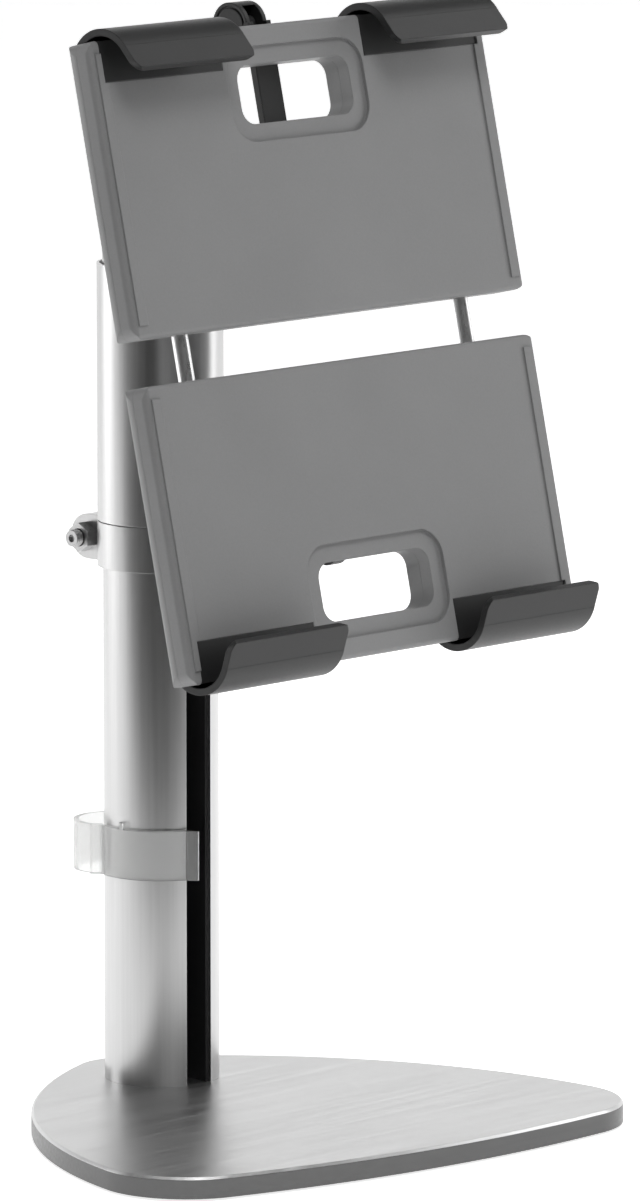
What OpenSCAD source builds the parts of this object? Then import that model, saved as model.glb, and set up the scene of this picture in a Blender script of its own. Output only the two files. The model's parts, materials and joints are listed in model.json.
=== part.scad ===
// Desk stand for a tablet computer.
// A rounded triangular base plate carries a slotted round column. A clamp ring sets the height,
// a sleeve turns on the column above it, and a forward arm with a friction knuckle tilts the
// holder. The holder is two hollow shells with hooked claws, joined by two guide rods, so that
// the upper shell slides up and down to suit the tablet.
// Origin: on the table, under the column axis. +Z up, -Y the side the tablet faces, X its width.

/* [Base plate] */
// turn of the plate under the holder
base_turn = 8; // [0:1:12]
// column axis to the front edge of the plate
base_front = 134; // [120:1:150]
// radius of the front edge
base_front_r = 376; // [300:1:500]
// radius of each side edge
base_side_r = 167; // [150:1:200]
// widest half width of the side edges
base_half_w = 96.5; // [90:0.5:102]
// how far in front of the column the side edges are widest
base_wide_y = 116; // [105:1:122]
// radius of the two front corners
base_corner_r = 28; // [15:1:34]
// radius of the corner behind the column
base_back_r = 18; // [10:1:24]
// plate thickness
base_t = 6.6; // [5:0.2:10]
// bevel on the upper edge of the plate
base_bevel = 0.8; // [0.2:0.1:1.5]
// how far the rubber underlay stands out below the plate
pad_t = 0.8; // [0.5:0.1:1.2]

/* [Column] */
// turn of the column and its slot under the holder
column_turn = 4; // [0:1:12]
// outer radius
column_r = 17.9; // [17.5:0.1:18]
// length above the plate
column_h = 276; // [268:1:286]
// wall thickness
column_wall = 2.4; // [2:0.1:3]
// width of the front slot
slot_w = 10; // [9:0.1:11.5]
// depth of the front slot
slot_depth = 13; // [11:0.5:14]
// thickness of the black liner in the slot
liner_t = 0.8; // [0.6:0.1:1.2]

/* [Cable clip] */
// bottom edge above the plate
clip_z = 65.4; // [50:0.5:75]
// height of the band
clip_h = 15.4; // [12:0.2:18]
// thickness of the band
clip_t = 1.5; // [1.2:0.1:2]
// outer radius of the cable loop
clip_loop_r = 13.3; // [12:0.1:14]

/* [Height ring and sleeve] */
// bottom of the clamp ring above the plate
ring_z = 161.6; // [150:0.5:170]
// height of the clamp ring
ring_h = 14; // [12:0.5:14]
// outer radius of the clamp ring and the sleeve
sleeve_r = 19.6; // [19.2:0.1:20.5]
// height of the sleeve
sleeve_h = 80; // [76:1:86]

/* [Holder] */
// lean of the holder from upright
lean = 12.8; // [10:0.1:16]
// glass plane of the tablet in front of the column axis
glass_y = 85.3; // [84:0.1:90]
// middle of the holder above the plate
middle_z = 241.5; // [236:0.5:246]
// half width of each shell
shell_half_w = 86.2; // [86:0.1:88]
// half of the gap between the shells
gap_half = 7; // [6:0.5:8]
// outer edge of each shell from the middle
shell_top = 96.8; // [95:0.1:97]
// shell wall thickness
shell_t = 2.4; // [2:0.1:2.6]
// half width of the hand hole
hole_half_w = 24.5; // [20:0.5:26]
// height of the hand hole
hole_h = 18; // [14:0.5:20]

/* [Claws] */
// inner side of a claw from the middle
claw_x0 = 31; // [31:0.5:36]
// outer side of a claw from the middle
claw_x1 = 82; // [76:0.5:82]
// sheet thickness
claw_t = 2.2; // [2:0.1:2.4]
// outer radius of the rolled edge
claw_r = 13; // [12.8:0.1:13.4]

/* [Hidden] */

$fn = 96;
join = 0.01;        // overlap that makes touching shapes one solid
past = 1;           // how far cutting shapes reach past a face
far = 60;           // larger than any cut across a small part
air = 0.3;          // space between bodies that move past each other
run = 0.05;         // radial clearance of a running fit

plate_top = pad_t + base_t;
black = [0.10, 0.10, 0.11];
dark = [0.16, 0.16, 0.17];
grey = [0.45, 0.46, 0.47];
silver = [0.76, 0.77, 0.78];
steel = [0.62, 0.63, 0.65];

// ---------- shared helpers ----------

// Point at distance ra from a and rb from b, on the side of the direction given.
function meet(a, ra, b, rb, side) =
  let (gap = norm(b - a), along = (b - a) / gap, across = [-along[1], along[0]])
  let (foot = (ra * ra - rb * rb + gap * gap) / (2 * gap))
  let (rise = sqrt(ra * ra - foot * foot))
  a + foot * along + (across * side > 0 ? rise : -rise) * across;

// Rectangle with rounded corners, r0 at the low-y corners and r1 at the high-y corners.
module rounded(x0, y0, x1, y1, r0, r1) {
  translate([x0 + r0, y0]) square([x1 - x0 - 2 * r0, y1 - y0 - r1]);
  translate([x0 + r1, y1 - r1 - join]) square([x1 - x0 - 2 * r1, r1 + join]);
  translate([x0, y0 + r0]) square([x1 - x0, y1 - y0 - r0 - r1]);
  for (x = [x0 + r0, x1 - r0]) translate([x, y0 + r0]) circle(r0);
  for (x = [x0 + r1, x1 - r1]) translate([x, y1 - r1]) circle(r1);
}

// Holder space: X along the width, Y backwards from the glass plane, Z up along the lean.
module in_holder() {
  translate([0, -glass_y, plate_top + middle_z]) rotate([-lean, 0, 0]) children();
}

// 2D shape in X and Z drawn through y0 to y1.
module through_y(y0, y1) {
  translate([0, y1, 0]) rotate([90, 0, 0]) linear_extrude(y1 - y0) children();
}

// 2D shape in Y and Z drawn through x0 to x1.
module through_x(x0, x1) {
  translate([x0, 0, 0]) rotate([90, 0, 90]) linear_extrude(x1 - x0) children();
}

// Round bar along X or Y.
module bar_x(x0, x1, r) {
  translate([x0, 0, 0]) rotate([0, 90, 0]) cylinder(r = r, h = x1 - x0);
}
module bar_y(y0, y1, r) {
  translate([0, y0, 0]) rotate([-90, 0, 0]) cylinder(r = r, h = y1 - y0);
}

// ---------- base ----------

front_c = [0, base_front_r - base_front];
side_c = [base_side_r - base_half_w, -base_wide_y];
corner_c = meet(front_c, base_front_r - base_corner_r,
  [-side_c[0], side_c[1]], base_side_r - base_corner_r, [1, -1]);
back_c = [0, side_c[1] + sqrt(pow(base_side_r - base_back_r, 2) - pow(side_c[0], 2))];
corner_front = front_c + base_front_r * (corner_c - front_c) / norm(corner_c - front_c);
corner_side = let (c = [-side_c[0], side_c[1]])
  c + base_side_r * (corner_c - c) / norm(corner_c - c);
back_side = let (c = [-side_c[0], side_c[1]])
  c + base_side_r * (back_c - c) / norm(back_c - c);
reach = 90;         // how far the corner wedges reach
proud = 0.05;       // the corner rounds stand this far out, so that they cross the edges

// Wedge from the corner centre c between the directions to a and to b.
module wedge(c, a, b, z0, z1) {
  translate([0, 0, z0]) linear_extrude(z1 - z0) polygon([c, c + reach * (a - c) / norm(a - c),
    c + 1.5 * reach * ((a + b) / 2 - c) / norm((a + b) / 2 - c),
    c + reach * (b - c) / norm(b - c)]);
}

module corner_wedge(z0, z1) {
  wedge(corner_c, corner_front, corner_side, z0, z1);
}

module back_wedge(z0, z1) {
  wedge(back_c, back_side, [-back_side[0], back_side[1]], z0, z1);
}

// What the discs of both side edges have in common.
module for_sides() {
  intersection() {
    translate([side_c[0], side_c[1], 0]) children();
    translate([-side_c[0], side_c[1], 0]) children();
  }
}

// Plate outline from z = 0 to h, inset by i0 below and i1 above.
module plate_layer(h, i0, i1) {
  difference() {
    intersection() {
      translate([front_c[0], front_c[1], 0])
        cylinder(r1 = base_front_r - i0, r2 = base_front_r - i1, h = h, $fn = 720);
      for_sides() cylinder(r1 = base_side_r - i0, r2 = base_side_r - i1, h = h, $fn = 480);
    }
    for (s = [0, 1]) mirror([s, 0, 0]) corner_wedge(-1, h + 1);
    back_wedge(-1, h + 1);
  }
  for (s = [-1, 1]) translate([s * corner_c[0], corner_c[1], 0])
    cylinder(r1 = base_corner_r + proud - i0, r2 = base_corner_r + proud - i1, h = h);
  translate([0, back_c[1], 0])
    cylinder(r1 = base_back_r + proud - i0, r2 = base_back_r + proud - i1, h = h);
}

screw_ring = 9.5;   // radius on which the three foot screws sit
screw_back = 1;     // that circle's centre behind the column axis
foot_screw_r = 2.45;
foot_screw_h = 24;
foot_head_r = 5;    // conical head of a foot screw
foot_head_h = 2.6;
foot_hole_r = 2.7;  // hole in the plate
foot_sink_r = 6;    // countersink and access hole below
foot_sink_h = 3.4;
foot_key_r = 1.75;  // hexagon socket of a foot screw
foot_key_h = 1.8;

underlay_in = 6;    // underlay edge inside the plate edge

module at_plate() {
  rotate([0, 0, -base_turn]) children();
}

module at_column() {
  rotate([0, 0, -column_turn]) children();
}

// The three foot screws, in the column's own directions.
module at_foot_screws() {
  for (a = [90, 210, 330])
    translate([screw_ring * cos(a), screw_ring * sin(a) + screw_back, 0]) children();
}

module base_plate() color(silver) difference() {
  at_plate() {
    translate([0, 0, pad_t]) plate_layer(base_t - base_bevel, 0, 0);
    translate([0, 0, plate_top - base_bevel]) plate_layer(base_bevel, 0, base_bevel);
  }
  at_plate() translate([0, 0, pad_t - join])
    plate_layer(pad_t, underlay_in - air, underlay_in - air);
  at_column() at_foot_screws() {
    cylinder(r = foot_hole_r, h = plate_top + past);
    translate([0, 0, pad_t]) cylinder(r1 = foot_sink_r, r2 = foot_hole_r, h = foot_sink_h);
  }
}

module base_underlay() color(black) difference() {
  at_plate() plate_layer(2 * pad_t - join, underlay_in, underlay_in);
  at_column() at_foot_screws() translate([0, 0, -past])
    cylinder(r = foot_sink_r, h = 2 * (pad_t + past));
}

module base_screws() color(steel) at_column() at_foot_screws()
  translate([0, 0, 2 * pad_t]) difference() {
    union() {
      cylinder(r1 = foot_head_r, r2 = foot_screw_r, h = foot_head_h);
      cylinder(r = foot_screw_r, h = foot_screw_h);
    }
    translate([0, 0, -join]) cylinder(r = foot_key_r, h = foot_key_h, $fn = 6);
  }

channel_t = 1.8;    // walls of the slot channel
web_t = 2;          // web from the channel to the back wall
port_r = 2.5;       // screw ports
port_wall = 1.7;    // wall round a screw port

// Section of the column: ring, slot channel, web and three screw ports.
module column_section() {
  difference() {
    union() {
      difference() {
        circle(column_r);
        circle(column_r - column_wall);
      }
      intersection() {
        circle(column_r - column_wall / 2);
        translate([-slot_w / 2 - channel_t, -column_r])
          square([slot_w + 2 * channel_t, slot_depth + channel_t]);
      }
      intersection() {
        circle(column_r - column_wall / 2);
        translate([-web_t / 2, -column_r + slot_depth + past]) square([web_t, 2 * column_r]);
      }
      at_foot_screws() circle(port_r + port_wall);
    }
    translate([-slot_w / 2, -column_r - past]) square([slot_w, slot_depth + past]);
    at_foot_screws() circle(port_r);
  }
}

module column() color(silver) at_column() translate([0, 0, plate_top])
  linear_extrude(column_h) column_section();

liner_in = 2.2;     // the liner starts this deep in the slot

module slot_liner() color(black) at_column() translate([0, 0, plate_top])
  linear_extrude(column_h) difference() {
    translate([-slot_w / 2, -column_r + liner_in]) square([slot_w, slot_depth - liner_in]);
    translate([-slot_w / 2 + liner_t, -column_r]) square([slot_w - 2 * liner_t,
      slot_depth - liner_t]);
  }

cap_t = 3;          // column cap thickness
cap_bevel = 1;      // bevel on its upper edge

module column_cap() color(black)
  translate([0, 0, plate_top + column_h]) {
    cylinder(r = column_r, h = cap_t - cap_bevel);
    translate([0, 0, cap_t - cap_bevel])
      cylinder(r1 = column_r, r2 = column_r - cap_bevel, h = cap_bevel);
  }

// ---------- cable clip ----------

clip_in = column_r + air;
clip_out = clip_in + clip_t;
clip_turn = 44;     // direction of the band middle, from the front towards the left
loop_c = [-14, 6];  // loop centre, across and behind the band middle
band_back = 6;      // the band ends this far in front of the column axis
loop_end = 8;       // the loop closes on the column this far from the middle
lip_len_x = 4.3;    // length of the pull lip
rib_x = 13.5;       // rib on the upper edge, from the middle
rib_h = 2;          // height of that rib
lip_start = 7.5;    // across position where the band ends in the pull lip

module clip_section() {
  difference() {
    circle(clip_out);
    circle(clip_in);
    translate([lip_start, -far]) square([far, 2 * far]);
    translate([-far, -band_back]) square([2 * far, far]);
  }
  difference() {
    translate(loop_c) circle(clip_loop_r);
    translate(loop_c) circle(clip_loop_r - clip_t);
    circle(clip_in);
    translate([-loop_end, -far]) square([far, 2 * far]);
  }
  translate([-clip_out - 2.7, -band_back]) square([4, 2 * clip_t]);
  translate([lip_start - past, -clip_in - 0.4]) rotate(-15) square([lip_len_x, clip_t]);
}

module cable_clip() color([0.86, 0.87, 0.86, 0.6]) translate([0, 0, plate_top + clip_z])
  rotate([0, 0, -clip_turn]) {
    linear_extrude(clip_h) clip_section();
    intersection() {
      translate([0, 0, clip_h]) linear_extrude(rib_h) clip_section();
      translate([-rib_x, -far, clip_h]) cube([1.2, far, rib_h]);
    }
  }

// ---------- height ring ----------

ear_y = 29;         // clamp ears reach this far behind the axis
ear_flat_y = 25;    // their sides are flat up to here
ear_t = 6;          // thickness of one ear
split = 2;          // width of the split between the ears
stud_y = 25;        // clamp stud axis behind the column axis
stud_z = plate_top + ring_z + ring_h / 2;
stud_r = 2.5;
stud_hole_r = 2.6;
stud_out = 18.3;    // end of the stud inside the knob
stud_in = 14;       // end of the stud past the nut
ears = 2 * ear_t + split;

module height_ring() color(silver) difference() {
  union() {
    translate([0, 0, plate_top + ring_z]) cylinder(r = sleeve_r, h = ring_h);
    translate([-ears / 2, 0, plate_top + ring_z]) cube([ears, ear_flat_y, ring_h]);
    translate([0, ear_flat_y, stud_z]) bar_x(-ears / 2, ears / 2, ring_h / 2);
  }
  translate([0, 0, plate_top + ring_z - past]) cylinder(r = column_r + run, h = ring_h + 2 * past);
  translate([-split / 2, 0, plate_top + ring_z - past])
    cube([split, ear_y + far, ring_h + 2 * past]);
  translate([0, stud_y, stud_z]) bar_x(-far, far, stud_hole_r);
}

stud_dimple_r = 1.2;

module ring_stud() color(steel) translate([0, stud_y, stud_z]) difference() {
  bar_x(-stud_in, stud_out, stud_r);
  bar_x(-stud_in - join, -stud_in + past, stud_dimple_r);
}

nut_r = 4.6;
nut_t = 4;

module ring_nut() color(steel) translate([-ears / 2 - nut_t, stud_y, stud_z])
  rotate([0, 90, 0]) difference() {
    cylinder(r = nut_r, h = nut_t, $fn = 6);
    translate([0, 0, -past]) cylinder(r = stud_r + air, h = nut_t + 2 * past);
  }

knob_r = 9;         // radius of the clamp knob
knob_t = 9;         // thickness of its grip
knob_neck_r = 5;    // neck between the ears and the grip
knob_neck_h = 5;
grip_r = 1.7;       // scallops round the grip
grip_out = 0.9;     // their centres lie this far outside the knob
dome_h = 1.4;       // domed end of the knob
dome_r0 = 7;
dome_r1 = 5.6;

module ring_knob() color(black) translate([ears / 2 + air, stud_y, stud_z])
  rotate([0, 90, 0]) difference() {
    union() {
      cylinder(r = knob_neck_r, h = knob_neck_h);
      translate([0, 0, knob_neck_h]) linear_extrude(knob_t) difference() {
        circle(knob_r);
        for (a = [0 : 30 : 330]) rotate(a) translate([knob_r + grip_out, 0]) circle(grip_r);
      }
      translate([0, 0, knob_neck_h + knob_t]) cylinder(r1 = dome_r0, r2 = dome_r1, h = dome_h);
    }
    translate([0, 0, -past]) cylinder(r = stud_r, h = stud_out - ears / 2 - air + past);
  }

// ---------- sleeve and arm ----------

sleeve_z = plate_top + ring_z + ring_h + air;
bush_t = 0.8;       // wall of the sliding bushes
bush_h = 12;        // height of one bush

module sleeve() color(silver) translate([0, 0, sleeve_z]) difference() {
  cylinder(r = sleeve_r, h = sleeve_h);
  translate([0, 0, -past]) cylinder(r = column_r + air, h = sleeve_h + 2 * past);
  for (z = [-join, sleeve_h - bush_h]) translate([0, 0, z])
    cylinder(r = column_r + run + bush_t, h = bush_h + join);
}

module sleeve_bushes() color(black) for (z = [0, sleeve_h - bush_h])
  translate([0, 0, sleeve_z + z]) difference() {
    cylinder(r = column_r + run + bush_t, h = bush_h);
    translate([0, 0, -past]) cylinder(r = column_r + run, h = bush_h + 2 * past);
  }

pivot_off = 38;     // tilt axis behind the glass plane
pivot_up = -42;     // tilt axis from the holder middle, along the lean
pivot_y = -glass_y + pivot_off * cos(lean) + pivot_up * sin(lean);
pivot_z = plate_top + middle_z - pivot_off * sin(lean) + pivot_up * cos(lean);
pin_r = 3.5;        // tilt pin
barrel_r = 10;      // radius of the tilt barrel
barrel_half = 8;    // half width of the tilt barrel
washer_t = 0.9;     // tilt washer thickness
washer_r = 8.5;
saddle_t = 3.2;     // thickness of the saddle plate
saddle_z0 = sleeve_z + 4;
saddle_h = 32;      // height of the saddle plate
saddle_half_w = 17;
saddle_front = 8;   // the saddle ends this far in front of the column axis
arm_half_h = 8.5;   // half height of the arm
arm_half_w = 12;    // half width of its root
arm_root_y = -16;   // the root starts inside the saddle
arm_neck_y = -44;   // and ends where the barrel's neck starts
rib_t = 3.5;        // the two ribs above the arm
rib_low_y = -40;    // front foot of a rib
rib_high_y = -22;   // front of a rib at its top
rib_back_y = -19;
arm_screw_turn = 40;  // saddle screws, each side of the front
arm_screw_in = 6;     // and this far from the saddle's ends
arm_head_r = 2.6;
arm_head_h = 1.6;
arm_screw_r = 1.7;
arm_key_r = 1.3;
arm_key_h = 1.1;

module at_arm_screws() {
  for (z = [saddle_z0 + arm_screw_in, saddle_z0 + saddle_h - arm_screw_in])
    for (a = [-arm_screw_turn, arm_screw_turn]) translate([0, 0, z]) rotate([0, 0, a]) children();
}

// Side view of a rib, upwards from the arm's upper face.
module arm_rib() {
  rise = saddle_z0 + saddle_h - pivot_z - arm_half_h - past;
  polygon([[rib_low_y, 0], [rib_back_y, 0], [rib_back_y, rise], [rib_high_y, rise]]);
}

module support_arm() color(black) difference() {
  union() {
    intersection() {
      translate([0, 0, saddle_z0]) cylinder(r = sleeve_r + saddle_t, h = saddle_h);
      translate([-saddle_half_w, -far, saddle_z0])
        cube([2 * saddle_half_w, far - saddle_front, saddle_h]);
    }
    translate([-arm_half_w, arm_neck_y, pivot_z - arm_half_h])
      cube([2 * arm_half_w, arm_root_y - arm_neck_y, 2 * arm_half_h]);
    translate([-barrel_half, pivot_y, pivot_z - arm_half_h])
      cube([2 * barrel_half, arm_neck_y - pivot_y + past, 2 * arm_half_h]);
    translate([0, pivot_y, pivot_z]) bar_x(-barrel_half, barrel_half, barrel_r);
    for (x = [past - 10, 9 - rib_t]) translate([0, 0, pivot_z + arm_half_h - join])
      through_x(x, x + rib_t) arm_rib();
  }
  translate([0, 0, saddle_z0 - past]) cylinder(r = sleeve_r, h = saddle_h + 2 * past);
  translate([0, pivot_y, pivot_z]) bar_x(-far, far, pin_r + run);
  at_arm_screws() bar_y(-far, -sleeve_r + past, arm_screw_r + 0.1);
}

module arm_screws() color(steel) at_arm_screws() difference() {
  union() {
    bar_y(-sleeve_r - saddle_t - arm_head_h, -sleeve_r - saddle_t, arm_head_r);
    bar_y(-sleeve_r - saddle_t - join, -sleeve_r - 0.1, arm_screw_r);
  }
  translate([0, -sleeve_r - saddle_t - arm_head_h - join, 0]) rotate([-90, 0, 0])
    cylinder(r = arm_key_r, h = arm_key_h, $fn = 6);
}

module tilt_washers() color(grey) translate([0, pivot_y, pivot_z]) for (s = [-1, 1])
  difference() {
    bar_x(s > 0 ? barrel_half : -barrel_half - washer_t,
      s > 0 ? barrel_half + washer_t : -barrel_half, washer_r);
    bar_x(-far, far, pin_r + air);
  }

// ---------- tilt head ----------

cheek_in = barrel_half + washer_t + air;
cheek_t = 5;        // thickness of one cheek
cheek_out = cheek_in + cheek_t;
gusset_half = 18;   // half height of a cheek where it meets the head plate
gusset_y = 5;       // depth of that widening
rear = 21;          // rear face of the shells behind the glass plane
head_t = 3.5;       // thickness of the head plate
head_half_w = 30;   // half width of the head plate
head_half_h = 21;   // half height of the head plate
head_corner_r = 5;
head_screw_x = 23;  // head screws from the middle of the plate
head_screw_z = 15;
head_screw_r = 2.1;
head_screw_in = 5;  // length in front of the shells' rear face
head_cap_r = 3.6;
head_cap_h = 2.2;
head_key_r = 1.5;

module at_head_screws() {
  for (x = [-head_screw_x, head_screw_x]) for (z = [-head_screw_z, head_screw_z])
    translate([x, 0, pivot_up + z]) children();
}

// Side view of a cheek.
module cheek() {
  foot = rear + head_t - join;
  translate([pivot_off, pivot_up]) circle(barrel_r);
  translate([foot, pivot_up - barrel_r]) square([pivot_off - foot, 2 * barrel_r]);
  polygon([[foot, pivot_up - gusset_half], [foot + gusset_y, pivot_up - barrel_r],
    [foot + gusset_y, pivot_up + barrel_r], [foot, pivot_up + gusset_half]]);
}

module tilt_head() color(black) in_holder() difference() {
  union() {
    through_y(rear, rear + head_t) rounded(-head_half_w, pivot_up - head_half_h,
      head_half_w, pivot_up + head_half_h, head_corner_r, head_corner_r);
    through_x(cheek_in, cheek_out) cheek();
    through_x(-cheek_out, -cheek_in) cheek();
  }
  translate([0, pivot_off, pivot_up]) bar_x(-far, far, pin_r);
  at_head_screws() bar_y(rear - past, rear + head_t + past, head_screw_r + 0.1);
}

pin_head_r = 6;
pin_head_t = 3;
pin_nut_r = 6.5;
pin_nut_t = 4;

module tilt_pin() color(steel) in_holder() translate([0, pivot_off, pivot_up]) {
  bar_x(-cheek_out, cheek_out, pin_r);
  bar_x(-cheek_out - pin_head_t, -cheek_out, pin_head_r);
}

module pin_nut() color(steel) in_holder() translate([cheek_out, pivot_off, pivot_up])
  rotate([0, 90, 0]) cylinder(r = pin_nut_r, h = pin_nut_t, $fn = 6);

module head_screws() color(steel) in_holder() at_head_screws() difference() {
  union() {
    bar_y(rear + head_t, rear + head_t + head_cap_h, head_cap_r);
    bar_y(rear - head_screw_in, rear + head_t + join, head_screw_r);
  }
  translate([0, rear + head_t + past, 0]) rotate([-90, 0, 0])
    cylinder(r = head_key_r, h = head_cap_h, $fn = 6);
}

lever_x = cheek_out + pin_nut_t + air;
lever_t = 7;        // thickness of the lever's hub
lever_hub_r = 7;
lever_turn = -62;   // direction of the lever, from straight back
lever_len = 24;     // hub to the middle of the round end
lever_w = 7;        // width of the blade
lever_end_r = 4.6;
lever_stud_r = 3;

module tilt_lever_stud() color(steel) in_holder()
  translate([lever_x, pivot_off, pivot_up]) bar_x(0, lever_t, lever_stud_r);

module tilt_lever() color(black) in_holder() translate([lever_x, pivot_off, pivot_up])
  difference() {
    union() {
      bar_x(0, lever_t, lever_hub_r);
      through_x(1.5, lever_t - 0.5) rotate(lever_turn) {
        translate([0, -lever_w / 2]) square([lever_len - 2, lever_w]);
        translate([lever_len, 0]) circle(lever_end_r);
      }
    }
    bar_x(-past, lever_t + past, lever_stud_r);
  }

// ---------- shells ----------

face = 10;          // shell face behind the glass plane
seam = 15.5;        // joint between front and back shell
face_r = 2;         // rounding of the face edges
side_r = 5;         // rounding of the rear edges
plan_r = 4;         // rounding of the shell corners seen from the front
bead_w = 3.8;       // width of the raised side beads
bead_h = 0.5;       // height of the raised side beads
hole_z0 = 67;       // near edge of the hand hole from the middle
rim_w = 5.5;        // sunken rim around the hand hole
rim_d = 1.2;        // depth of that rim
notch_z = 84;       // claws start at this distance from the middle
floor_t = 2;        // walls round the two claw rooms

// Outer or inner volume of a shell, inset by i.
module shell_block(i) {
  intersection() {
    translate([0, 0, gap_half + i]) linear_extrude(shell_top - gap_half - 2 * i)
      rounded(-shell_half_w + i, face + i, shell_half_w - i, rear - i, max(face_r - i, 0.4),
        side_r - i);
    through_x(-shell_half_w - 1, shell_half_w + 1)
      rounded(face + i, gap_half + i, rear - i, shell_top - i, 1.5, 1.5);
    through_y(face - 1, rear + 1)
      rounded(-shell_half_w + i, gap_half + i, shell_half_w - i, shell_top - i, plan_r,
        plan_r);
  }
}

module hole_shape(grow) {
  rounded(-hole_half_w - grow, hole_z0 - grow, hole_half_w + grow, hole_z0 + hole_h + grow,
    5 + grow * 0.7, 5 + grow * 0.7);
}

// Room for the two claws at the outer edge.
module claw_rooms() {
  for (s = [-1, 1]) translate([s > 0 ? claw_x0 : -claw_x1, face - 2, notch_z])
    cube([claw_x1 - claw_x0, rear - face + 4, shell_top - notch_z + 1]);
}

module shell_full() {
  difference() {
    union() {
      difference() {
        shell_block(0);
        shell_block(shell_t);
      }
      intersection() {
        shell_block(0);
        through_y(face, rear) difference() {
          hole_shape(2);
          hole_shape(0);
        }
      }
      intersection() {
        shell_block(0);
        for (s = [-1, 1])
          translate([s > 0 ? claw_x0 - floor_t : -claw_x1 - floor_t, face, notch_z - floor_t])
            difference() {
              cube([claw_x1 - claw_x0 + 2 * floor_t, rear - face, shell_top]);
              translate([floor_t, -1, floor_t]) cube([claw_x1 - claw_x0, rear, shell_top]);
            }
      }
      for (s = [-1, 1])
        translate([s > 0 ? shell_half_w - face_r - bead_w : -shell_half_w + face_r,
          face - bead_h, gap_half + plan_r])
          cube([bead_w, bead_h + 1, shell_top - gap_half - 2 * plan_r]);
    }
    through_y(face - 1, rear + 1) hole_shape(0);
    through_y(face - 1, face + rim_d) hole_shape(rim_w);
    claw_rooms();
  }
}

module shell_front() {
  intersection() {
    shell_full();
    translate([-2 * far, 0, 0]) cube([4 * far, seam, 2 * far]);
  }
}

module shell_back() {
  intersection() {
    shell_full();
    translate([-2 * far, seam, 0]) cube([4 * far, far, 2 * far]);
  }
}

boss_r = 4;         // screw bosses inside the shells
rod_x = 62;         // guide rods from the middle
rod_y = 15.8;       // guide rods behind the glass plane
rod_r = 2.5;
rod_low = -64;      // ends of the rods from the middle
rod_high = 74;
outer_screw = [76, 24];  // shell screws, across and from the middle
inner_screw = [40, 58];
shell_screw_r = 1.5;
shell_hole_r = 1.6;
shell_head_r = 2.9;
shell_head_h = 1;
sink_r = 3.1;       // sunk seat of a shell screw
sink_d = 1.2;
shell_key_r = 1.2;

module at_shell_screws() {
  for (p = [outer_screw, inner_screw]) for (s = [-1, 1])
    translate([s * p[0], 0, p[1]]) children();
}

module shell_bosses(y0, y1) {
  at_shell_screws() difference() {
    bar_y(y0, y1, boss_r);
    bar_y(y0 - past, y1 + past, shell_hole_r);
  }
}

module rod_passages(r) {
  for (s = [-1, 1]) translate([s * rod_x, rod_y, 0]) cylinder(r = r, h = far / 2);
}

module screw_holes() {
  at_shell_screws() {
    bar_y(rear - shell_t - past, rear + past, shell_hole_r);
    bar_y(rear - sink_d, rear + past, sink_r);
  }
}

module shell_screw_set() {
  at_shell_screws() difference() {
    union() {
      bar_y(rear - sink_d, rear - sink_d + shell_head_h, shell_head_r);
      bar_y(face + 2 * shell_t, rear - sink_d + join, shell_screw_r);
    }
    translate([0, rear - past, 0]) rotate([-90, 0, 0])
      cylinder(r = shell_key_r, h = 2 * past, $fn = 6);
  }
}

module front_parts() {
  difference() {
    shell_front();
    rod_passages(rod_r + air);
  }
  shell_bosses(face + shell_t - join, rear - shell_t);
}

module back_parts() {
  difference() {
    shell_back();
    rod_passages(rod_r + air);
    screw_holes();
    for (s = [0, 1]) mirror([s, 0, 0]) at_claw_screws()
      cylinder(r = claw_screw_r, h = 3 * floor_t, center = true);
  }
}

module lower_shell_front() color(grey) in_holder() mirror([0, 0, 1]) front_parts();

module lower_shell_back() color(grey) in_holder() difference() {
  mirror([0, 0, 1]) back_parts();
  at_head_screws() bar_y(rear - head_screw_in - past, rear + past, head_screw_r);
}

module upper_shell_front() color(grey) in_holder() front_parts();

lug_z = 30;         // latch hinge axis from the middle
lug_y = 24.6;       // latch hinge axis behind the glass plane
lug_r = 3.5;
lug_t = 3;          // thickness of each hinge lug
strap_half = 4.8;   // half width of the latch strap
lug_x = strap_half + air + 0.2;
latch_pin_r = 1.5;

module upper_shell_back() color(grey) in_holder() {
  back_parts();
  for (x = [lug_x, -lug_x - lug_t]) difference() {
    union() {
      translate([x, rear - past, lug_z - lug_r]) cube([lug_t, lug_y - rear + past, 2 * lug_r]);
      translate([x, lug_y, lug_z]) bar_x(0, lug_t, lug_r);
    }
    translate([0, lug_y, lug_z]) bar_x(-far, far, latch_pin_r);
  }
}

module lower_shell_screws() color(steel) in_holder() mirror([0, 0, 1]) shell_screw_set();
module upper_shell_screws() color(steel) in_holder() shell_screw_set();

// ---------- claws ----------

claw_cy = 10.3;     // centre of the rolled edge behind the glass plane
claw_cz = 87.2;     // centre of the rolled edge from the middle
claw_rear = 20.9;   // rear face of the claw
lip_angle = 150;    // where the rolled edge turns into the straight lip
lip_len = 8.4;      // length of the straight lip
lip_r = 4.5;        // rounding of the lip ends
corner_y = 5;       // the lip ends are rounded in front of this
claw_gap = 0.15;    // play of a claw in its room
bite = 0.15;        // the lip rounds reach this far past the ends
claw_screw_r = 1.1;
claw_screw_in = 8;  // claw screws from the claw's ends
claw_screw_y = 17.1;  // and behind the glass plane
claw_head_r = 1.5;
claw_head_h = 1.3;
lining_t = 0.7;     // soft lining inside the lips
lining_w = 34;
lip_z = claw_cz + (claw_r - claw_t) * sin(lip_angle) + lip_len * cos(lip_angle);

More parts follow.
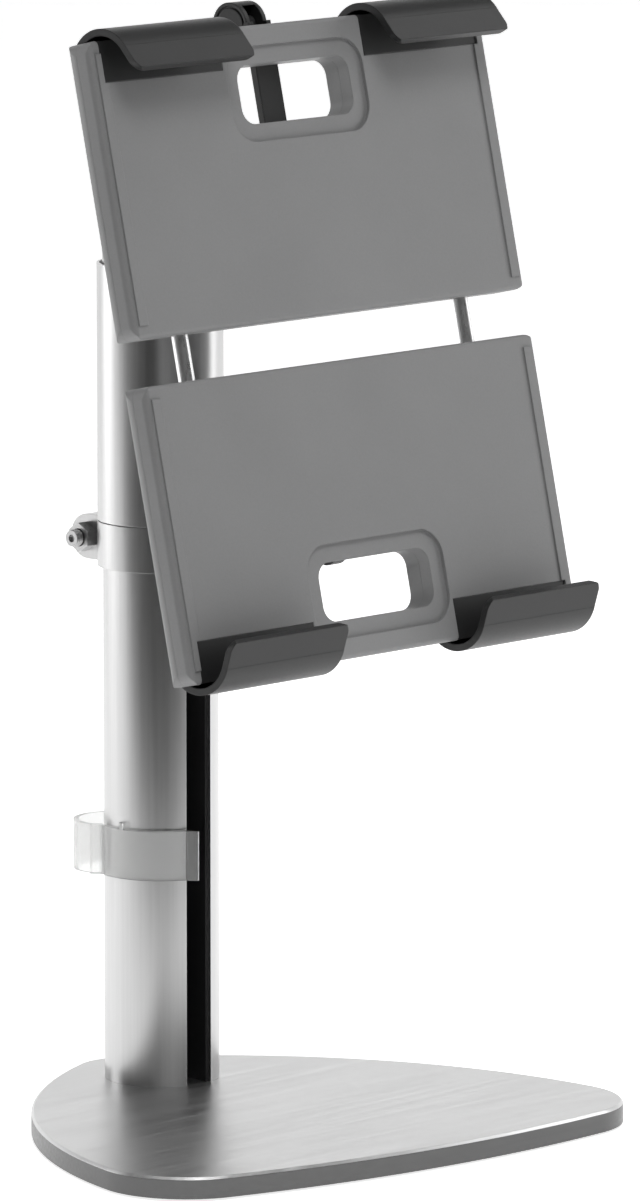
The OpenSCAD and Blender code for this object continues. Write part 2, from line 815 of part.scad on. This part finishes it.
module claw_section() {
  difference() {
    union() {
      intersection() {
        difference() {
          translate([claw_cy, claw_cz]) circle(claw_r);
          translate([claw_cy, claw_cz]) circle(claw_r - claw_t);
        }
        translate([claw_cy, claw_cz]) polygon([[0, 0],
          [far * cos(lip_angle), far * sin(lip_angle)], [-far, far], [far, far], [far, 0]]);
      }
      translate([claw_cy, claw_cz]) rotate(lip_angle)
        translate([claw_r - claw_t - proud, -0.6]) square([claw_t, lip_len + 0.6]);
      translate([claw_rear - shell_t, notch_z]) square([shell_t, claw_cz - notch_z + 6]);
      translate([face, notch_z]) square([shell_t, claw_cz - notch_z + 9.4]);
      translate([face, notch_z]) square([claw_rear - face, shell_t]);
    }
    translate([claw_rear, notch_z - past]) square([far, far]);
  }
}

// Right-hand claw of the upper shell.
module claw_body() {
  difference() {
    through_x(claw_x0 + claw_gap, claw_x1 - claw_gap) claw_section();
    lip_corner(claw_x0 + claw_gap, 1);
    lip_corner(claw_x1 - claw_gap, -1);
    at_claw_screws() cylinder(r = claw_screw_r, h = 3 * shell_t, center = true);
  }
}

// What is cut from a lip end: a square less its round, on the side given.
module lip_corner(x, side) {
  through_y(-20, corner_y) difference() {
    translate([side > 0 ? x - past : x - lip_r, lip_z - past])
      square([lip_r + past, lip_r + past]);
    translate([x + side * (lip_r - bite), lip_z + lip_r - bite]) circle(lip_r);
  }
}

module at_claw_screws() {
  for (x = [claw_x0 + claw_screw_in, claw_x1 - claw_screw_in])
    translate([x, claw_screw_y, notch_z]) children();
}

module claw_screw_set() {
  for (s = [0, 1]) mirror([s, 0, 0]) at_claw_screws() {
    translate([0, 0, -floor_t - claw_head_h]) cylinder(r = claw_head_r, h = claw_head_h);
    translate([0, 0, -floor_t - join]) cylinder(r = claw_screw_r, h = floor_t + shell_t);
  }
}

module upper_claw_screws() color(steel) in_holder() claw_screw_set();
module lower_claw_screws() color(steel) in_holder() mirror([0, 0, 1]) claw_screw_set();

// Soft lining inside the lips.
module claw_pads() {
  for (s = [0, 1]) mirror([s, 0, 0])
    through_x((claw_x0 + claw_x1 - lining_w) / 2, (claw_x0 + claw_x1 + lining_w) / 2)
      translate([claw_cy, claw_cz]) rotate(lip_angle)
        translate([claw_r - claw_t - proud - lining_t, 1.2]) square([lining_t, lip_len - 2.4]);
}

module upper_claw_left() color(black) in_holder() mirror([1, 0, 0]) claw_body();
module upper_claw_right() color(black) in_holder() claw_body();
module lower_claw_left() color(black) in_holder() mirror([0, 0, 1]) mirror([1, 0, 0]) claw_body();
module lower_claw_right() color(black) in_holder() mirror([0, 0, 1]) claw_body();
module upper_claw_pads() color(dark) in_holder() claw_pads();
module lower_claw_pads() color(dark) in_holder() mirror([0, 0, 1]) claw_pads();

// ---------- guide rods ----------

module guide_rods() color(steel) in_holder() for (s = [-1, 1])
  translate([s * rod_x, rod_y, rod_low]) cylinder(r = rod_r, h = rod_high - rod_low);

block_half_w = 6;   // half width of the blocks on the rods

// Pair of blocks on the rods from z0 to z1, standing off the shell walls by the gap given.
module blocks(z0, z1, hole_r, gap) {
  for (s = [-1, 1]) translate([s * rod_x, 0, z0]) difference() {
    translate([-block_half_w, face + shell_t + gap, 0])
      cube([2 * block_half_w, rear - face - 2 * (shell_t + gap), z1 - z0]);
    translate([0, rod_y, -past]) cylinder(r = hole_r, h = z1 - z0 + 2 * past);
  }
}

anchor_z = [-62, -36];
bearing_z = [16, 45];
stop_z = [70.5, 73.5];

module rod_anchors() color(black) in_holder() blocks(anchor_z[0], anchor_z[1], rod_r, 0);
module rod_bearings() color(black) in_holder()
  blocks(bearing_z[0], bearing_z[1], rod_r + run, 0);
module rod_stops() color(steel) in_holder() blocks(stop_z[0], stop_z[1], rod_r, air + 0.1);

// ---------- latch ----------

strap_t = 2.4;      // strap thickness
strap_y = rear + 0.5;
knuckle_r = 3;      // hinge end of the strap
head_y = 30;        // round head centre behind the glass plane
head_z = 98.8;      // round head centre from the middle
head_r = 7.2;
head_half = 4.4;    // half width of the round head
side_t = 1.5;       // its side walls
window_low = 4.2;   // window between the side walls, below and above the centre
window_high = 5.4;
groove_r = 1;       // groove on the side walls, from their edge
groove_w = 0.8;
groove_d = 0.5;
roller_r = 2.6;
axle_r = 1.2;
roller_front = 1.6; // roller axis in front of the head's centre

module latch_lever() color(black) in_holder() difference() {
  union() {
    translate([-strap_half, strap_y, lug_z]) cube([2 * strap_half, strap_t, head_z - lug_z]);
    translate([0, lug_y, lug_z]) bar_x(-strap_half, strap_half, knuckle_r);
    translate([0, head_y, head_z]) bar_x(-head_half, head_half, head_r);
  }
  translate([0, lug_y, lug_z]) bar_x(-far, far, latch_pin_r + run);
  translate([-head_half + side_t, strap_y - past, head_z - window_low])
    cube([2 * (head_half - side_t), head_y - strap_y + 3 * past, window_low + window_high]);
  translate([0, head_y, head_z]) for (x = [head_half - groove_d, -head_half - past])
    difference() {
      bar_x(x, x + groove_d + past, head_r - groove_r);
      bar_x(-far, far, head_r - groove_r - groove_w);
    }
}

module latch_roller() color(dark) in_holder() translate([0, head_y - roller_front, head_z]) {
  bar_x(-head_half + side_t, head_half - side_t, axle_r);
  bar_x(-head_half + side_t + air, head_half - side_t - air, roller_r);
}

module latch_pin() color(steel) in_holder() translate([0, lug_y, lug_z])
  bar_x(-lug_x - lug_t, lug_x + lug_t, latch_pin_r);

// ---------- drawing ----------

base_plate();
base_underlay();
base_screws();
column();
slot_liner();
column_cap();
cable_clip();
height_ring();
ring_stud();
ring_knob();
ring_nut();
sleeve();
sleeve_bushes();
support_arm();
arm_screws();
tilt_washers();
tilt_head();
tilt_pin();
pin_nut();
tilt_lever();
tilt_lever_stud();
head_screws();
lower_shell_front();
lower_shell_back();
lower_claw_left();
lower_claw_right();
lower_claw_pads();
lower_claw_screws();
lower_shell_screws();
guide_rods();
rod_anchors();
rod_stops();
upper_shell_front();
upper_shell_back();
upper_claw_left();
upper_claw_right();
upper_claw_pads();
upper_claw_screws();
upper_shell_screws();
rod_bearings();
latch_lever();
latch_pin();
latch_roller();
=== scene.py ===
"""Looks of the tablet stand: finishes, the clamp stud's thread, studio, lights and camera.

Lengths are metres, unless a name or comment says mm. Noise scales are cells per metre.
"""

import json
import math

import bmesh
import bpy
from mathutils import Matrix, Vector


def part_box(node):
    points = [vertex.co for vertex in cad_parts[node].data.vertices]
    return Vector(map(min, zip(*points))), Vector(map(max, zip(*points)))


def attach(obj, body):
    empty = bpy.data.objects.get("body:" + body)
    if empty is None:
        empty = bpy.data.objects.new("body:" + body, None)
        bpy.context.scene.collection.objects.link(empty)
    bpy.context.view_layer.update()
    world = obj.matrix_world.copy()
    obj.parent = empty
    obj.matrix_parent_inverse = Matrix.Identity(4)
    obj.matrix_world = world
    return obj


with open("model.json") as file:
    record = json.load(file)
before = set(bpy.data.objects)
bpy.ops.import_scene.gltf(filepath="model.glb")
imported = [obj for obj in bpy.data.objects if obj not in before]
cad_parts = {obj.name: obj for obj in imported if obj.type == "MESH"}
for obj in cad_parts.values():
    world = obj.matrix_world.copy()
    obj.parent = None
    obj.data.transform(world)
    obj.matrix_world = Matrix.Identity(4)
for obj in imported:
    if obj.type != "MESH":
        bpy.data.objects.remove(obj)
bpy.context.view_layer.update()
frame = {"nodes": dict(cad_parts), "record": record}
nodes = frame["nodes"]

MM = 0.001
EVEN = (1.0, 1.0, 1.0)  # a texture's stretch that leaves it the same along X, Y and Z


# ---------- helpers ----------


class Shader:
    """A material's node tree, with short ways to add and join nodes."""

    def __init__(self, name):
        self.material = bpy.data.materials.new(name)
        self.material.use_nodes = True
        self.tree = self.material.node_tree
        self.tree.nodes.clear()
        self.out = self.add("ShaderNodeOutputMaterial")
        self.body = self.add("ShaderNodeBsdfPrincipled")
        self.link(self.body, "BSDF", self.out, "Surface")
        self.coords = self.add("ShaderNodeTexCoord")

    def add(self, kind, **values):
        """A new node with some of its properties set."""
        node = self.tree.nodes.new(kind)
        for key, value in values.items():
            setattr(node, key, value)
        return node

    def link(self, a, a_socket, b, b_socket):
        """One node's output joined to another's input."""
        self.tree.links.new(a.outputs[a_socket], b.inputs[b_socket])

    def set(self, **values):
        """Values on the shader's own sockets, whose names have spaces for underscores."""
        for key, value in values.items():
            self.body.inputs[key.replace("_", " ")].default_value = value

    def stretched(self, scale):
        """Object coordinates, scaled by three factors."""
        mapping = self.add("ShaderNodeMapping")
        mapping.inputs["Scale"].default_value = scale
        self.link(self.coords, "Object", mapping, "Vector")
        return mapping

    def noise(self, scale, detail=3.0, rough=0.55, stretch=EVEN, distortion=0.0):
        """Noise on object coordinates, drawn out along the axes whose stretch is small."""
        node = self.add("ShaderNodeTexNoise")
        node.inputs["Scale"].default_value = scale
        node.inputs["Detail"].default_value = detail
        node.inputs["Roughness"].default_value = rough
        node.inputs["Distortion"].default_value = distortion
        self.link(self.stretched(stretch), "Vector", node, "Vector")
        return node

    def blend(self, a, b, share):
        """Two noises mixed, with the second one's share."""
        node = self.add("ShaderNodeMix", data_type="FLOAT")
        node.inputs["Factor"].default_value = share
        self.link(a, "Fac", node, "A")
        self.link(b, "Fac", node, "B")
        return node

    def ramp(self, source, socket, low, high, low_at=0.3, high_at=0.7):
        """Greys or colours from low to high over a texture's range."""
        node = self.add("ShaderNodeValToRGB")
        node.color_ramp.elements[0].position = low_at
        node.color_ramp.elements[1].position = high_at
        node.color_ramp.elements[0].color = tint(low)
        node.color_ramp.elements[1].color = tint(high)
        self.link(source, socket, node, "Fac")
        return node

    def spread(self, source, socket, low, high, low_at=0.25, high_at=0.75, **values):
        """A value's range low_at to high_at spread over low to high."""
        node = self.add("ShaderNodeMapRange", **values)
        node.inputs["From Min"].default_value = low_at
        node.inputs["From Max"].default_value = high_at
        node.inputs["To Min"].default_value = low
        node.inputs["To Max"].default_value = high
        self.link(source, socket, node, "Value")
        return node

    def relief(self, layers, edge=0.0):
        """Bump layers (source, socket, height in mm) on top of softened edges (radius in mm)."""
        last = None
        if edge:
            last = self.add("ShaderNodeBevel", samples=4)
            last.inputs["Radius"].default_value = edge * MM
        for source, socket, height in layers:
            bump = self.add("ShaderNodeBump")
            bump.inputs["Strength"].default_value = 1.0
            bump.inputs["Distance"].default_value = height * MM
            self.link(source, socket, bump, "Height")
            if last:
                self.link(last, "Normal", bump, "Normal")
            last = bump
        if last:
            self.link(last, "Normal", self.body, "Normal")


def tint(value):
    """A grey level or a colour as an opaque RGBA colour."""
    if isinstance(value, (int, float)):
        return (value, value, value, 1.0)
    return (*value, 1.0)


def mesh_object(name, mesh, material):
    """A scene object made of a finished bmesh, which is freed."""
    data = bpy.data.meshes.new(name)
    mesh.to_mesh(data)
    mesh.free()
    data.materials.append(material)
    made = bpy.data.objects.new(name, data)
    bpy.context.scene.collection.objects.link(made)
    return made


# ---------- finishes ----------


def satin_metal(name, low, high, rough, stretch, grain, edge, shaded_side=None, vary=0.06):
    """Metal with a fine grain along one direction and slight stains.

    low and high are its greys, and its third grey is painted shade: a darker grey on its upright
    faces, for the dark floor that they reflect.
    Its roughness is rough, more or less by vary. In mm, grain is the height of the bump and
    edge is the radius of the softened edges.
    """
    s = Shader(name)
    s.set(Metallic=1.0)
    lines = s.noise(900, detail=2.0, rough=0.6, stretch=stretch)
    clouds = s.noise(18, detail=3.0, rough=0.5)
    face = s.ramp(s.blend(lines, clouds, 0.3), "Result", low, high)
    if shaded_side:
        # painted shade: upright faces get the darker third grey, standing in for the dark floor
        # they reflect
        geometry = s.add("ShaderNodeNewGeometry")
        split = s.add("ShaderNodeSeparateXYZ")
        s.link(geometry, "True Normal", split, "Vector")
        upright = s.add("ShaderNodeMix", data_type="RGBA", blend_type="MIX")
        upright.inputs["A"].default_value = tint(shaded_side)
        up = s.ramp(split, "Z", 0.0, 1.0, low_at=0.05, high_at=0.35)
        s.link(up, "Color", upright, "Factor")
        s.link(face, "Color", upright, "B")
        s.link(upright, "Result", s.body, "Base Color")
    else:
        s.link(face, "Color", s.body, "Base Color")
    s.link(s.spread(lines, "Fac", rough - vary, rough + vary), "Result", s.body, "Roughness")
    s.relief([(lines, "Fac", grain)], edge)
    return s.material


def moulded_plastic(name, low, high, rough, grain_scale, grain, edge, gloss=0.5):
    """Moulded plastic with a fine spark-eroded texture (grain and edge in mm)."""
    s = Shader(name)
    pits = s.noise(grain_scale, detail=4.0, rough=0.65)
    cloud = s.noise(26, detail=2.0, rough=0.5)
    mix = s.blend(pits, cloud, 0.45)
    s.link(s.ramp(mix, "Result", low, high), "Color", s.body, "Base Color")
    s.link(s.spread(pits, "Fac", rough - 0.06, rough + 0.08), "Result", s.body, "Roughness")
    s.set(Specular_IOR_Level=gloss)
    s.relief([(pits, "Fac", grain), (cloud, "Fac", 0.02)], edge)
    return s.material


def powder_paint(name, low, high):
    """Black powder coat: small round orange-peel bumps."""
    s = Shader(name)
    cells = s.add("ShaderNodeTexVoronoi", feature="SMOOTH_F1")
    cells.inputs["Scale"].default_value = 1400
    s.link(s.stretched(EVEN), "Vector", cells, "Vector")
    cloud = s.noise(40)
    s.link(s.ramp(cloud, "Fac", low, high), "Color", s.body, "Base Color")
    s.link(s.spread(cloud, "Fac", 0.42, 0.55), "Result", s.body, "Roughness")
    s.relief([(cells, "Distance", 0.03)], 0.4)
    return s.material


def frosted_clip(name):
    """Clear plastic moulded with a frosted skin."""
    s = Shader(name)
    skin = s.noise(900, detail=2.0, rough=0.5)
    flow = s.noise(30, detail=2.0, rough=0.5, stretch=(1, 1, 0.25), distortion=0.6)
    clear = s.ramp(flow, "Fac", (0.93, 0.933, 0.93), (0.97, 0.972, 0.967))
    s.link(clear, "Color", s.body, "Base Color")
    s.link(s.spread(skin, "Fac", 0.20, 0.26), "Result", s.body, "Roughness")
    s.set(IOR=1.4, Transmission_Weight=0.82)
    s.relief([(flow, "Fac", 0.02)], 0.25)
    return s.material


def ribbed_rubber(name):
    """Dull rubber sheet with shallow ribs across its width."""
    s = Shader(name)
    ribs = s.add("ShaderNodeTexWave", wave_type="BANDS", bands_direction="X")
    ribs.inputs["Scale"].default_value = 120
    s.link(s.stretched(EVEN), "Vector", ribs, "Vector")
    dust = s.noise(300, detail=4.0)
    s.link(s.ramp(dust, "Fac", 0.018, 0.034), "Color", s.body, "Base Color")
    s.link(s.spread(dust, "Fac", 0.7, 0.9), "Result", s.body, "Roughness")
    s.relief([(ribs, "Fac", 0.15), (dust, "Fac", 0.03)], 0.3)
    return s.material


def soft_rubber(name):
    """Plain soft rubber with a dusty skin."""
    s = Shader(name)
    dust = s.noise(700, detail=4.0, rough=0.7)
    s.link(s.ramp(dust, "Fac", 0.02, 0.04), "Color", s.body, "Base Color")
    s.link(s.spread(dust, "Fac", 0.65, 0.85), "Result", s.body, "Roughness")
    s.relief([(dust, "Fac", 0.04)], 0.2)
    return s.material


ACROSS = (0.02, 1.0, 1.0)  # grain lines along X
UPRIGHT = (1.0, 1.0, 0.015)  # grain lines along Z
LENGTHWISE = (1.0, 1.0, 0.02)  # the same, for the guide rods

zinc = satin_metal(
    "zinc_hardware", low=0.42, high=0.55, rough=0.32, stretch=EVEN, grain=0.006, edge=0.15
)

FINISH = {
    "base_steel": satin_metal(
        "base_satin_steel",
        low=0.67,
        high=0.74,
        rough=0.36,
        stretch=ACROSS,
        grain=0.002,
        edge=0.35,
        # painted shade: the plate's rim is drawn dark, standing in for the dark floor it
        # reflects
        shaded_side=0.13,
    ),
    "column_aluminium": satin_metal(
        "column_anodised",
        low=0.51,
        high=0.56,
        rough=0.29,
        stretch=UPRIGHT,
        grain=0.0002,
        edge=0.2,
        vary=0.015,
    ),
    "hardware_steel": zinc,
    "rod_chrome": satin_metal(
        "polished_rod",
        low=0.78,
        high=0.84,
        rough=0.3,
        stretch=LENGTHWISE,
        grain=0.0006,
        edge=0.1,
    ),
    "shell_plastic": moulded_plastic(
        "shell_graphite",
        low=(0.205, 0.2055, 0.207),
        high=(0.235, 0.2355, 0.237),
        rough=0.46,
        grain_scale=1500,
        grain=0.03,
        edge=0.5,
    ),
    "claw_plastic": moulded_plastic(
        "claw_black",
        low=(0.010, 0.0101, 0.0103),
        high=(0.016, 0.0161, 0.0163),
        rough=0.4,
        grain_scale=1800,
        grain=0.02,
        edge=0.5,
        gloss=0.42,
    ),
    "trim_plastic": moulded_plastic(
        "trim_black",
        low=(0.018, 0.018, 0.019),
        high=(0.03, 0.03, 0.031),
        rough=0.5,
        grain_scale=1600,
        grain=0.03,
        edge=0.35,
    ),
    "liner_plastic": moulded_plastic(
        "liner_black",
        low=(0.016, 0.016, 0.017),
        high=(0.026, 0.026, 0.027),
        rough=0.42,
        grain_scale=1200,
        grain=0.02,
        edge=0.2,
    ),
    "washer_plastic": moulded_plastic(
        "washer_grey",
        low=(0.26, 0.26, 0.27),
        high=(0.34, 0.34, 0.35),
        rough=0.5,
        grain_scale=1400,
        grain=0.02,
        edge=0.2,
    ),
    "arm_metal": powder_paint(
        "powder_black", low=(0.018, 0.0185, 0.02), high=(0.032, 0.0325, 0.034)
    ),
    "clip_plastic": frosted_clip("clip_frosted"),
    "underlay_rubber": ribbed_rubber("underlay_rubber"),
    "pad_rubber": soft_rubber("pad_rubber"),
}

slot_of = {part["node"]: part["material_slot"] for part in frame["record"]["subparts"]}
for name, node in nodes.items():
    node.data.materials.clear()
    node.data.materials.append(FINISH[slot_of[name]])


# ---------- thread on the clamp stud ----------


def thread_piece(name, stud, nut, pitch=0.8 * MM, crest=0.16 * MM, steps=24):
    """Screw thread wound on the stud's free end, between its tip and the nut.

    The wound section is a triangle: crest is its height above the stud, and its two feet lie a
    little inside the stud. A turn has the given number of steps.
    """
    low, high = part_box(stud)
    half_pitch, foot, sunk = 0.5 * pitch, 0.35 * pitch, 0.25 * crest
    start, stop = low.x + half_pitch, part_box(nut)[0].x - half_pitch
    y, z = (low.y + high.y) / 2, (low.z + high.z) / 2
    radius = (high.z - low.z) / 2
    section = ((-foot, -sunk), (0.0, crest), (foot, -sunk))
    count = int((stop - start) / pitch * steps)
    mesh = bmesh.new()
    rings = []
    for i in range(count + 1):
        angle = 2 * math.pi * i / steps
        x = start + pitch * i / steps
        ring = []
        for along, out in section:
            reach = radius + out
            place = (x + along, y + reach * math.cos(angle), z + reach * math.sin(angle))
            ring.append(mesh.verts.new(place))
        rings.append(ring)
    for a, b in zip(rings, rings[1:]):
        for i in range(3):
            j = (i + 1) % 3
            mesh.faces.new((a[i], a[j], b[j], b[i]))
    mesh.faces.new(rings[0])
    mesh.faces.new(reversed(rings[-1]))
    bmesh.ops.recalc_face_normals(mesh, faces=mesh.faces)
    piece = mesh_object(name, mesh, zinc)
    return piece


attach(thread_piece("clamp_stud_thread", "ring_stud", "ring_nut"), "ring_knob")


# ---------- studio ----------


# Studio directions: X is to the camera's right, and -Y is towards the camera.
AZIMUTH, ELEVATION = math.radians(-46.753), math.radians(8.957)
to_studio = Matrix.Rotation(AZIMUTH, 3, "Z")


def paper():
    """White paper that glows behind the stand, and hardly at all well in front of it."""
    glow, glow_in_front = 0.84, 0.04
    fades_from, dark_by = -0.2, -0.75  # studio Y
    s = Shader("studio_paper")
    fibre = s.noise(60)
    white = s.ramp(fibre, "Fac", 0.90, 0.92)
    depth_of = s.add("ShaderNodeSeparateXYZ")
    s.link(s.coords, "Object", depth_of, "Vector")
    fade = s.spread(
        depth_of, "Y", glow_in_front, 1.0, dark_by, fades_from, interpolation_type="SMOOTHSTEP"
    )
    shade = s.add("ShaderNodeMix", data_type="RGBA", blend_type="MULTIPLY")
    shade.inputs["Factor"].default_value = 1.0
    s.link(white, "Color", shade, "A")
    s.link(fade, "Result", shade, "B")
    s.link(white, "Color", s.body, "Base Color")
    s.link(shade, "Result", s.body, "Emission Color")
    s.set(Emission_Strength=glow)
    s.link(s.spread(fibre, "Fac", 0.85, 0.95), "Result", s.body, "Roughness")
    return s.material


def floor_and_backdrop():
    """A pale sweep: flat floor that rolls up into a wall behind the stand."""
    half, depth, roll, height = 14.0, 9.0, 2.0, 6.0
    arc_steps = 16
    profile = [(-half, 0.0), (0.0, 0.0)]
    for i in range(arc_steps + 1):
        angle = math.pi / 2 * i / arc_steps
        profile.append((depth + roll * math.sin(angle), roll - roll * math.cos(angle)))
    profile.append((depth + roll, height))
    mesh = bmesh.new()
    left, right = [[mesh.verts.new((x, y, z)) for y, z in profile] for x in (-half, half)]
    for i in range(len(profile) - 1):
        face = mesh.faces.new((left[i], right[i], right[i + 1], left[i + 1]))
        face.smooth = True
    return mesh_object("studio_sweep", mesh, paper())


def black_flag():
    """A dark sheet in front of the stand, hidden from the camera, which only its polished
    surfaces see: it paints dark reflections into them.
    """
    near_y, far_y, half_x, above_floor = -0.34, -4.0, 1.1, 0.003
    corners = ((-half_x, far_y), (half_x, far_y), (half_x, near_y), (-half_x, near_y))
    mesh = bmesh.new()
    mesh.faces.new([mesh.verts.new((x, y, above_floor)) for x, y in corners])
    s = Shader("studio_reflection_flag")
    s.link(s.ramp(s.noise(80), "Fac", 0.01, 0.02), "Color", s.body, "Base Color")
    s.set(Roughness=1.0, Specular_IOR_Level=0.0)
    flag = mesh_object("studio_flag", mesh, s.material)
    # painted reflection: the dark sheet shows only in the reflections of polished surfaces
    flag.visible_camera = False
    flag.visible_diffuse = False
    flag.visible_transmission = False
    flag.visible_shadow = False
    return flag


sweep = floor_and_backdrop()
sweep.rotation_euler = (0, 0, AZIMUTH)

flag = black_flag()
flag.rotation_euler = (0, 0, AZIMUTH)


def softbox(name, place, width, height, power):
    """A rectangular lamp (power in W) at a place in studio directions, aimed at the stand."""
    place = to_studio @ Vector(place)
    aim = Vector((0, 0, 0.17))
    light = bpy.data.lights.new(name, "AREA")
    light.shape = "RECTANGLE"
    light.size, light.size_y = width, height
    light.energy = power
    lamp = bpy.data.objects.new(name, light)
    bpy.context.scene.collection.objects.link(lamp)
    lamp.location = place
    lamp.rotation_mode = "QUATERNION"
    lamp.rotation_quaternion = (aim - place).to_track_quat("-Z", "Y")


softbox("left_strip", (-1.5, 0.5, 0.5), width=0.8, height=1.4, power=7)
softbox("right_panel", (1.6, 0.5, 0.5), width=0.8, height=1.4, power=6)
softbox("top_panel", (0.0, 0.3, 2.0), width=1.8, height=1.4, power=8)
softbox("front_fill", (0.5, -1.4, 2.1), width=1.2, height=0.9, power=24)
softbox("claw_light", (1.5, 0.9, 1.6), width=0.7, height=0.7, power=4.5)

world = bpy.data.worlds.new("studio_air")
world.use_nodes = True
air = world.node_tree.nodes["Background"]
air.inputs["Color"].default_value = tint(1.0)
air.inputs["Strength"].default_value = 0.09
bpy.context.scene.world = world
bpy.context.scene.view_settings.view_transform = "Standard"


# ---------- camera ----------

camera_distance = 2.9406
sensor_width_mm, lens_mm = 36, 284.52
aim_right, aim_above_plate = 0.0493, 0.1502  # the point it looks at, from the column's foot

plate_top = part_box("base_plate")[1].z
aim = to_studio @ Vector((aim_right, 0, 0)) + Vector((0, 0, plate_top + aim_above_plate))
to_camera = to_studio @ Vector((0, -math.cos(ELEVATION), math.sin(ELEVATION)))
camera_data = bpy.data.cameras.new("camera")
camera_data.sensor_width = sensor_width_mm
camera_data.lens = lens_mm
camera_data.clip_start = 0.1
camera_data.clip_end = 30
camera = bpy.data.objects.new("camera", camera_data)
bpy.context.scene.collection.objects.link(camera)
camera.location = aim + to_camera * camera_distance
camera.rotation_mode = "QUATERNION"
camera.rotation_quaternion = (-to_camera).to_track_quat("-Z", "Y")
bpy.context.scene.camera = camera
